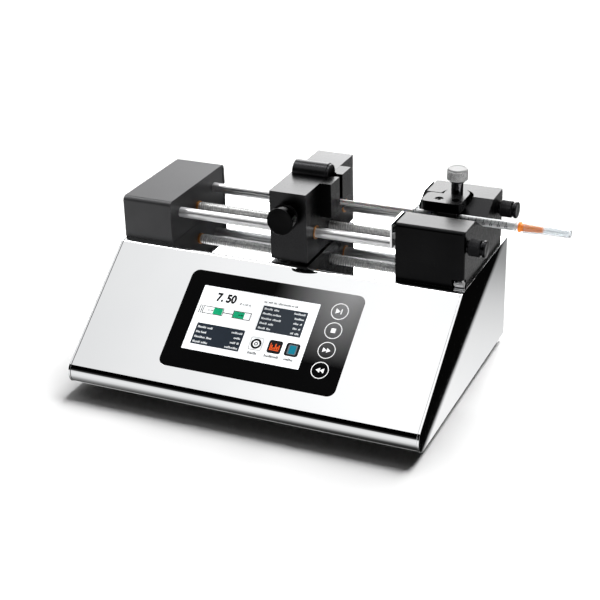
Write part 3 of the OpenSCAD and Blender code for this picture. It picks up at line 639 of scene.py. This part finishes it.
def on_glass(origin, u, v, out):
    """u to the right, v up the slope and out of the glass, in mm from origin."""
    return (origin + Vector((u, 0, 0)) - DOWN * v + OUT * out) * MM


def prism(points, faces, outline, level, origin):
    """A thin closed slab with that outline of (u, v), lying on layer level of the glass."""
    base = len(points)
    n = len(outline)
    for out in (LAYER * level - SUNK, LAYER * (level + 1)):
        points += [on_glass(origin, u, v, out) for u, v in outline]
    faces.append(tuple(base + i for i in range(n)))
    faces.append(tuple(base + n + i for i in range(n)))
    faces += [(base + i, base + (i + 1) % n, base + n + (i + 1) % n, base + n + i) for i in range(n)]


def rectangle(u, v, w, h, r=0.0):
    """Outline of a rectangle with its lower left corner at (u, v) and corner radius r."""
    if r <= 0:
        return [(u, v), (u + w, v), (u + w, v + h), (u, v + h)]
    outline = []
    steps = 4
    right, top = u + w, v + h
    corners = [(right - r, v + r, -90), (right - r, top - r, 0), (u + r, top - r, 90), (u + r, v + r, 180)]
    for corner_u, corner_v, start in corners:
        for i in range(steps + 1):
            angle = math.radians(start + 90 * i / steps)
            outline.append((corner_u + r * math.cos(angle), corner_v + r * math.sin(angle)))
    return outline


def disc(u, v, r, steps):
    turns = [2 * math.pi * i / steps for i in range(steps)]
    return [(u + r * math.cos(turn), v + r * math.sin(turn)) for turn in turns]


def graphic(name, outlines, level, material, origin=SCREEN):
    points, faces = [], []
    for outline in outlines:
        prism(points, faces, outline, level, origin)
    obj = piece(name, points, faces, material, "base", smooth=False)


def ring(name, centres, outer, inner, level, material, origin=SCREEN):
    """Flat closed rings round the given centres."""
    points, faces = [], []
    steps = 56
    for u, v in centres:
        base = len(points)
        for out in (LAYER * level - SUNK, LAYER * (level + 1)):
            for r in (inner, outer):
                points += [on_glass(origin, a, b, out) for a, b in disc(u, v, r, steps)]
        for i in range(steps):
            n = (i + 1) % steps
            inner_low, outer_low, inner_high, outer_high = (base + k * steps for k in range(4))
            faces += [(inner_low + i, inner_low + n, outer_low + n, outer_low + i),
                      (inner_high + i, outer_high + i, outer_high + n, inner_high + n),
                      (outer_low + i, outer_low + n, outer_high + n, outer_high + i),
                      (inner_low + i, inner_high + i, inner_high + n, inner_low + n)]
    obj = piece(name, points, faces, material, "base", smooth=False)


def number(name, text, size, u, v, level, material):
    """Plain digits, lying on the screen with their lower left corner at (u, v)."""
    narrow, bold = 0.87, 0.05
    curve = bpy.data.curves.new(name, "FONT")
    curve.body = text
    curve.size = size * MM
    curve.extrude = LAYER / 2 * MM
    curve.offset = bold * size * MM
    holder = bpy.data.objects.new(name, curve)
    mesh = bpy.data.meshes.new_from_object(holder)
    bpy.data.objects.remove(holder)
    middle = on_glass(SCREEN, u, v, LAYER * (level + 0.5))
    axes = Matrix((Vector((1, 0, 0)), -DOWN, OUT)).transposed().to_4x4()
    mesh.transform(Matrix.Translation(middle) @ axes @ Matrix.Diagonal((narrow, 1, 1, 1)))
    mesh.materials.clear()
    mesh.materials.append(material)
    obj = bpy.data.objects.new(name, mesh)
    bpy.context.scene.collection.objects.link(obj)
    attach(obj, "base")


def text_row(u, v, widths, height):
    """A row of words of those widths, made of small upright strokes of two heights, which say nothing."""
    outlines = []
    pitch = height * 0.52
    for width in widths:
        for i in range(max(1, round(width / pitch))):
            tall = (i * 7 + round(u * 3)) % 5 in (0, 3)
            outlines.append(rectangle(u + i * pitch, v, pitch * 0.68, height if tall else height * 0.72))
        u += width + height * 0.5
    return outlines


def panel_rows(left, right, top, pitch, height, rows):
    """Rows of label and value: labels start at left, and values end at right."""
    outlines = []
    for i, (label, value) in enumerate(rows):
        v = top - i * pitch
        outlines += text_row(left, v, label, height)
        outlines += text_row(right - sum(value) - 0.9 * (len(value) - 1), v, value, height)
    return outlines


def screen():
    w, h = 95.0, 54.0
    graphic("screen_background", [rectangle(-w / 2, -h / 2, w, h, 0.4)], 0, SCREEN_WHITE)
    number("flow_number", "7. 50", 9.2, -34.4, 15.9, 1, SCREEN_BLACK)
    graphic("flow_unit", text_row(-14.6, 15.6, [1.8, 1.0, 2.4, 1.6], 1.6), 1, SCREEN_GREY)
    graphic("heading_row", text_row(4.0, 20.9, [2.6, 3.6, 2.8, 3.8, 5.6, 1.6, 2.8], 1.6), 1, SCREEN_GREY)
    # two little syringes with their filled parts
    frames, fills = [], []
    line, low, tall = 0.55, 3.9, 6.4
    for u, width, fill_u, fill_w in ((-42.0, 17.0, -33.2, 7.4), (-17.2, 14.8, -16.6, 8.8)):
        frames += [rectangle(u, low, width, line), rectangle(u, low + tall - line, width, line),
                   rectangle(u, low, line, tall), rectangle(u + width - line, low, line, tall)]
        fills.append(rectangle(fill_u, 4.5, fill_w, 5.2))
    frames += [rectangle(-45.0, 3.6, 0.6, 7.0), rectangle(-43.4, 3.6, 0.6, 7.0)]
    frames.append(rectangle(-25.0, 6.5, 7.8, 0.7))
    values = text_row(-37.6, 6.6, [1.6, 1.9], 1.3) + text_row(-12.6, 6.6, [1.8, 1.4], 1.3)
    graphic("syringe_outlines", frames, 1, SCREEN_GREY)
    graphic("syringe_fills", fills, 1, SCREEN_GREEN)
    graphic("syringe_values", values, 2, SCREEN_BLACK)
    # two dark panels with rows of label and value
    graphic("lower_panel", [rectangle(-42.0, -21.9, 39.5, 17.6, 0.5)], 1, SCREEN_NAVY)
    graphic("upper_panel", [rectangle(4.5, -2.2, 36.0, 20.8, 0.5)], 1, SCREEN_SLATE)
    rows = panel_rows(-40.6, -4.0, -8.3, 4.1, 1.7, [
        ([7.0, 4.6], [8.6]), ([3.2, 4.4], [5.4]), ([9.0, 4.2], [4.6, 1.6]), ([6.2, 5.4], [10.2])])
    rows += panel_rows(6.0, 39.0, 15.4, 4.0, 1.6, [
        ([7.0, 4.4], [9.0]), ([7.2, 6.4], [7.4]), ([8.4, 6.6], [4.4, 1.8]),
        ([6.2, 4.2], [3.6, 1.8]), ([6.0, 3.0], [2.6, 3.4])])
    graphic("panel_rows", rows, 2, SCREEN_PALE)
    # three round-cornered buttons
    graphic("button_frames", [rectangle(4.0, -18.2, 10.4, 10.4, 1.6)], 1, SCREEN_GREY)
    graphic("button_face", [rectangle(4.35, -17.85, 9.7, 9.7, 1.4)], 2, SCREEN_WHITE)
    ring("gear_ring", [(9.2, -13.0)], 4.2, 2.5, 3, SCREEN_BLACK)
    ring("gear_hub", [(9.2, -13.0)], 1.5, 0.8, 3, SCREEN_BLACK)
    dark = [rectangle(18.8, -18.2, 10.8, 10.6, 1.8), rectangle(32.6, -18.0, 10.8, 10.6, 1.8)]
    graphic("dark_buttons", dark, 1, SCREEN_BLACK)
    tops = (3.2, 1.4, 4.6, 2.4, 3.6)
    bars = [rectangle(21.4 + i * 1.4, -14.8, 0.95, top) for i, top in enumerate(tops)]
    bars += [rectangle(20.4, -15.9, 7.4, 0.7), rectangle(20.4, -15.9, 0.7, 5.8)]
    graphic("chart_bars", bars, 2, SCREEN_ORANGE)
    graphic("page_frame", [rectangle(34.4, -16.6, 7.2, 7.9, 0.8)], 2, SCREEN_STEEL)
    graphic("page", [rectangle(35.6, -16.0, 5.0, 6.6, 0.4)], 3, SCREEN_TEAL)
    labels = []
    for u, width in ((5.0, 7.6), (18.2, 11.6), (34.0, 7.6)):
        labels += text_row(u, -21.8, [width], 2.0)
    graphic("button_labels", labels, 1, SCREEN_BLACK)


def triangle(u, v, size):
    """A triangle that points along +u (or -u for a negative size), centred on (u, v)."""
    half = abs(size) * 0.62
    return [(u - size / 2, v - half), (u + size / 2, v), (u - size / 2, v + half)]


def keys():
    u = 54.3
    levels = (25.8, 9.9, -6.3, -22.5)
    ring("key_rings", [(u, v) for v in levels], 6.7, 6.1, 0, KEY_LIGHT, GLASS_MIDDLE)
    play, stop, forward, back = levels
    icons = [triangle(u - 1.2, play, 3.6), rectangle(u + 1.0, play - 2.1, 0.8, 4.2),
             rectangle(u - 1.8, stop - 1.8, 3.6, 3.6),
             triangle(u - 1.5, forward, 3.2), triangle(u + 1.6, forward, 3.2),
             triangle(u - 1.6, back, -3.2), triangle(u + 1.5, back, -3.2)]
    graphic("key_icons", icons, 0, KEY_LIGHT, GLASS_MIDDLE)


screen()
keys()


# ---------- floor, light and camera ----------

def floor():
    size = 6.0
    points = [(x * size, y * size, 0) for x, y in ((-1, -1), (1, -1), (1, 1), (-1, 1))]
    mesh = bpy.data.meshes.new("floor")
    mesh.from_pydata(points, [], [(0, 1, 2, 3)])
    obj = bpy.data.objects.new("floor", mesh)
    bpy.context.scene.collection.objects.link(obj)
    mesh.materials.append(surface("pale_floor", (0.90, 0.90, 0.90), (0.93, 0.93, 0.93), 0, (0.7, 0.9),
                                  200, 0.00002, patch=3))
    obj.visible_glossy = False


def world_ramp(tree, height, stops):
    """Grey levels that change with the direction's height, from -1 straight down to 1 straight up."""
    node = tree.nodes.new("ShaderNodeValToRGB")
    node.color_ramp.interpolation = "LINEAR"
    while len(node.color_ramp.elements) < len(stops):
        node.color_ramp.elements.new(0.5)
    for element, (level, grey) in zip(node.color_ramp.elements, stops):
        element.position = (level + 1) / 2
        element.color = (grey, grey, grey, 1)
    tree.links.new(spread(tree, height, 0, 1, -1, 1), node.inputs["Fac"])
    return node.outputs["Color"]


def towards(tree, direction, axis, low, high, start, end):
    """low to high as the direction's share along axis goes from start to end."""
    node = tree.nodes.new("ShaderNodeVectorMath")
    node.operation = "DOT_PRODUCT"
    node.inputs[1].default_value = Vector(axis).normalized()
    tree.links.new(direction, node.inputs[0])
    return spread(tree, node.outputs["Value"], low, high, start, end)


def studio():
    """The room round the pump: a pale table below, the dark in front above it, and behind it a white wall
    with a black screen below. Polished faces see more pale parts, and the camera sees plain white."""
    world = bpy.data.worlds.new("studio")
    bpy.context.scene.world = world
    world.use_nodes = True
    tree = world.node_tree
    background = tree.nodes["Background"]
    direction = tree.nodes.new("ShaderNodeTexCoord").outputs["Generated"]
    parts = tree.nodes.new("ShaderNodeSeparateXYZ")
    tree.links.new(direction, parts.inputs["Vector"])
    height = parts.outputs["Z"]
    table = [(-1.0, 0.0), (-0.92, 0.05), (-0.8, 0.35), (-0.62, 0.78), (-0.3, 0.95), (0.0, 0.85)]
    front = world_ramp(tree, height, table + [(0.1, 0.05), (0.3, 0.0), (1.0, 0.0)])
    pale = world_ramp(tree, height, table + [(0.15, 0.5), (0.5, 0.62), (0.8, 0.9), (1.0, 0.9)])
    rear = world_ramp(tree, height, [
        (-1.0, 0.0), (-0.8, 0.05), (-0.62, 0.9), (-0.55, 1.0), (-0.495, 1.0), (-0.458, 0.875),
        (-0.433, 0.69), (-0.408, 0.34), (-0.37, 0.24), (-0.3, 0.12), (-0.03, 0.1), (0.03, 0.9),
        (0.56, 0.9), (0.68, 0.15), (1.0, 0.1)])
    black = plain_colour(tree, (0.002, 0.002, 0.002))
    white = plain_colour(tree, (1, 1, 1))
    light_path = tree.nodes.new("ShaderNodeLightPath")
    polished = light_path.outputs["Is Glossy Ray"]
    across = parts.outputs["X"]
    below = spread(tree, height, 1.0, 0.0, -0.06, -0.02)
    above = spread(tree, height, 0.0, 1.0, 0.0, 0.04)
    # to polished faces the front is dark only in a strip on the left, which the front lip mirrors
    left_of_strip = spread(tree, across, 1.0, 0.0, -0.68, -0.60)
    right_of_strip = spread(tree, across, 0.0, 1.0, -0.20, -0.12)
    beside_strip = maths(tree, "MAXIMUM", left_of_strip, right_of_strip)
    front = blended(tree, maths(tree, "MULTIPLY", beside_strip, polished), front, pale)
    # the right side panel mirrors the straight edge of the black screen behind
    screen_edge = towards(tree, direction, (0.9468, -0.1325, 0.2934), 0.0, 1.0, -0.001, 0.001)
    rear = blended(tree, maths(tree, "MULTIPLY", screen_edge, below), rear, black)
    past_wall = maths(tree, "MULTIPLY", spread(tree, across, 0.0, 1.0, 0.05, 0.2), above)
    rear = blended(tree, past_wall, rear, black)
    past_screen = maths(tree, "MULTIPLY", spread(tree, across, 0.0, 1.0, 0.31, 0.35), below)
    rear = blended(tree, maths(tree, "MULTIPLY", past_screen, polished), rear, pale)
    both = blended(tree, spread(tree, parts.outputs["Y"], 0, 1, 0.0, 0.25), front, rear)
    seen = blended(tree, light_path.outputs["Is Camera Ray"], both, white)
    tree.links.new(seen, background.inputs["Color"])
    background.inputs["Strength"].default_value = 1.0


def glossy_card(name, corners, axis_from, axis_to, low, high, falloff=None):
    """A glowing card that only polished and satin faces see. Its light goes from low to high as X, or the
    distance from the point falloff if there is one, goes from axis_from to axis_to."""
    mesh = bpy.data.meshes.new(name)
    mesh.from_pydata(corners, [], [(0, 1, 2, 3)])
    obj = bpy.data.objects.new(name, mesh)
    bpy.context.scene.collection.objects.link(obj)
    material, tree, shader = new_material(name)
    place = object_coords(tree)
    if falloff:
        node = tree.nodes.new("ShaderNodeVectorMath")
        node.operation = "DISTANCE"
        node.inputs[1].default_value = falloff
        tree.links.new(place, node.inputs[0])
        value = node.outputs["Value"]
    else:
        parts = tree.nodes.new("ShaderNodeSeparateXYZ")
        tree.links.new(place, parts.inputs["Vector"])
        value = parts.outputs["X"]
    shade = spread(tree, value, 0.0, 1.0, axis_from, axis_to)
    strong = max(low, high)
    grey = colour_mix(tree, shade, (low / strong,) * 3, (high / strong,) * 3)
    tree.links.new(grey, shader.inputs["Emission Color"])
    shader.inputs["Base Color"].default_value = (0, 0, 0, 1)
    shader.inputs["Emission Strength"].default_value = strong
    mesh.materials.append(material)
    obj.visible_camera = obj.visible_diffuse = obj.visible_shadow = False


def level_corners(left, right, front, back, height):
    return [(left, front, height), (left, back, height), (right, back, height), (right, front, height)]


def cards():
    """A ceiling card, a brighter strip below it for the rods, and a card behind that the deck mirrors."""
    left, right = -2.2, 0.9
    glossy_card("ceiling_card", level_corners(left, right, -1.25, 1.2, 1.5), -1.0, -0.4, 0.88, 1.16)
    glossy_card("zenith_strip", level_corners(left, right, 0.08, 0.36, 1.44), left, right, 9.0, 8.0)
    away = Vector((-0.37, 0.82, 0.43)).normalized()
    middle = away * 2.4
    side = away.cross(Vector((0, 0, 1))).normalized() * 1.25
    top = side.cross(away)
    corners = [middle + side * a + top * b for a, b in ((-1, -1), (1, -1), (1, 1), (-1, 1))]
    glossy_card("rear_card", corners, 0.2, 1.2, 6.8, 0.9, falloff=middle + side * 0.32)


def sun():
    """Broad soft light from behind, which lays the shadow in front of the object."""
    light = bpy.data.lights.new("rear_light", "SUN")
    light.energy = 5.4
    light.angle = math.radians(34)
    obj = bpy.data.objects.new("rear_light", light)
    obj.rotation_euler = Vector((-0.10, -0.69, -0.75)).to_track_quat("-Z", "Y").to_euler()
    obj.visible_glossy = False
    bpy.context.scene.collection.objects.link(obj)


def camera():
    """The photograph's view, from in front, right and above, with a slight roll."""
    place = (0.4154, -0.8955, 0.5310)
    azimuth, elevation, roll = (math.radians(a) for a in (24.474, 25.693, -1.537))
    level = Vector((math.cos(azimuth), math.sin(azimuth), 0))
    outward = Vector((math.sin(azimuth), -math.cos(azimuth), 0))
    back = outward * math.cos(elevation) + Vector((0, 0, math.sin(elevation)))
    up = back.cross(level)
    right = level * math.cos(roll) + up * math.sin(roll)
    top = up * math.cos(roll) - level * math.sin(roll)
    data = bpy.data.cameras.new("camera")
    data.lens = 85.86
    data.sensor_width = 36
    data.clip_start, data.clip_end = 0.05, 30
    obj = bpy.data.objects.new("camera", data)
    obj.matrix_world = Matrix.Translation(place) @ Matrix((right, top, back)).transposed().to_4x4()
    bpy.context.scene.collection.objects.link(obj)
    bpy.context.scene.camera = obj


floor()
studio()
cards()
sun()
camera()
bpy.context.scene.view_settings.view_transform = "Standard"
bpy.context.scene.cycles.caustics_reflective = False
